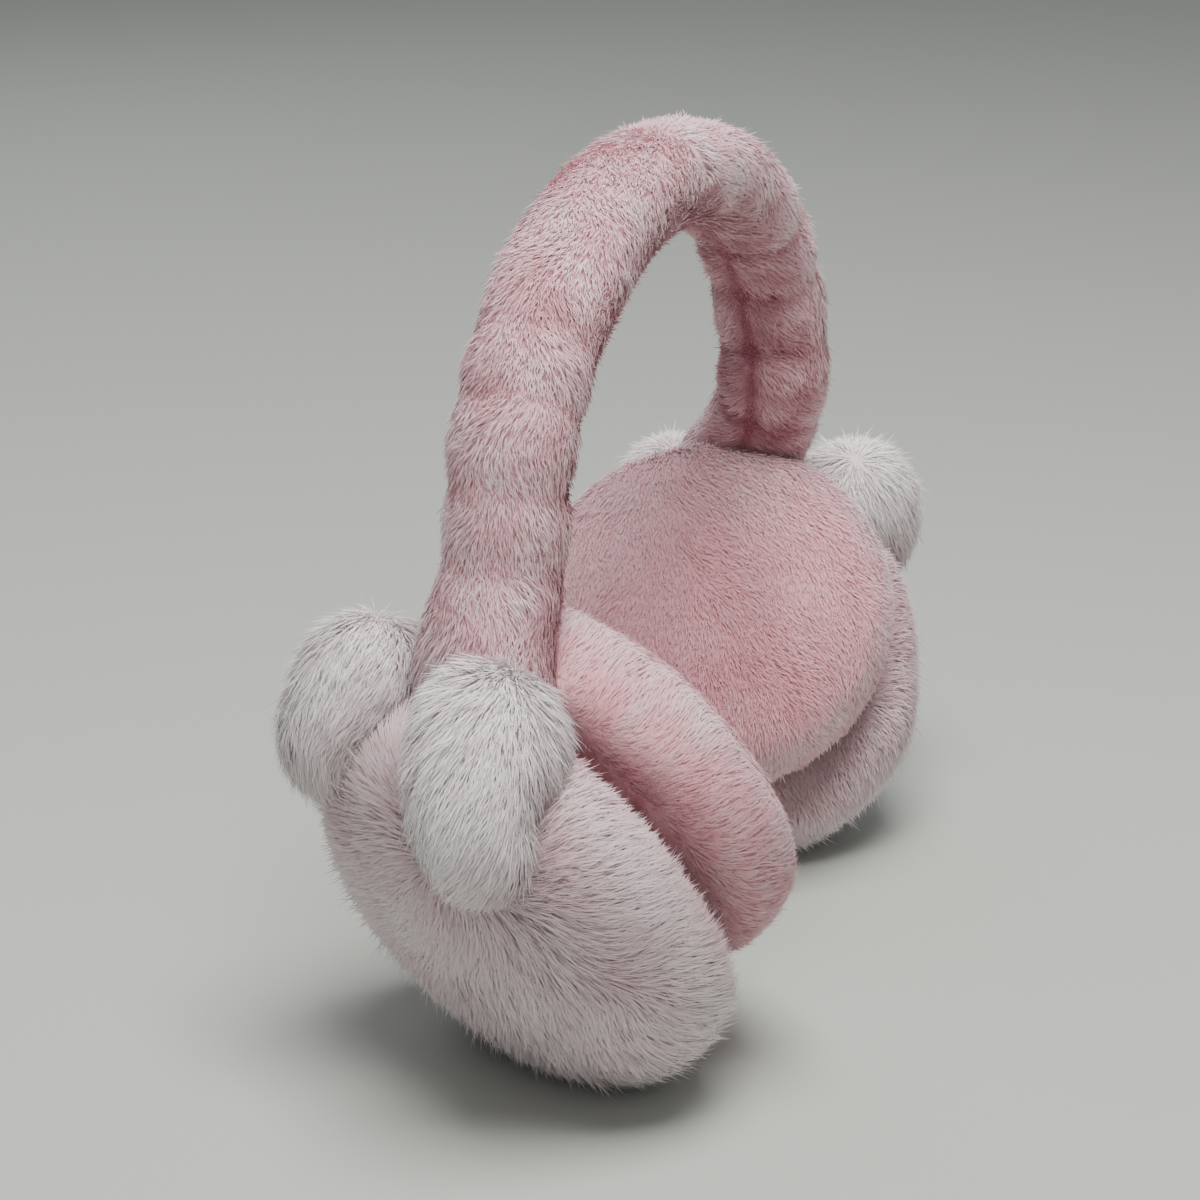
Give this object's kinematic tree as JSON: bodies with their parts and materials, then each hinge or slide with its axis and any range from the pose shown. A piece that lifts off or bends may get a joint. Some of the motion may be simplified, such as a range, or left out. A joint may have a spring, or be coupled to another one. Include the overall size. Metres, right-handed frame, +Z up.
{
  "type": "fur earmuffs",
  "caption": "Plush fur earmuffs with a padded headband, round cups with smooth inner cushions and stuffed animal ears, standing on the rims of the cups",
  "frame": {"origin": "on the floor, under the middle of the box round the whole pair", "axes": "+X from the left cup to the right cup, +Z up, -Y the front that the cushions turn towards"},
  "size_m": [0.2954, 0.135, 0.219],
  "materials": {
    "band_fur": "plush pile",
    "shell_fur": "long plush pile",
    "pad_fur": "short plush pile",
    "ear_fur": "long plush pile"
  },
  "bodies": {
    "root": {"headband_fur": "band_fur", "left_shell": "shell_fur", "right_shell": "shell_fur", "left_pad": "pad_fur", "right_pad": "pad_fur", "left_ear_front": "ear_fur", "left_ear_back": "ear_fur", "right_ear_front": "ear_fur", "right_ear_back": "ear_fur"}
  },
  "joints": []
}
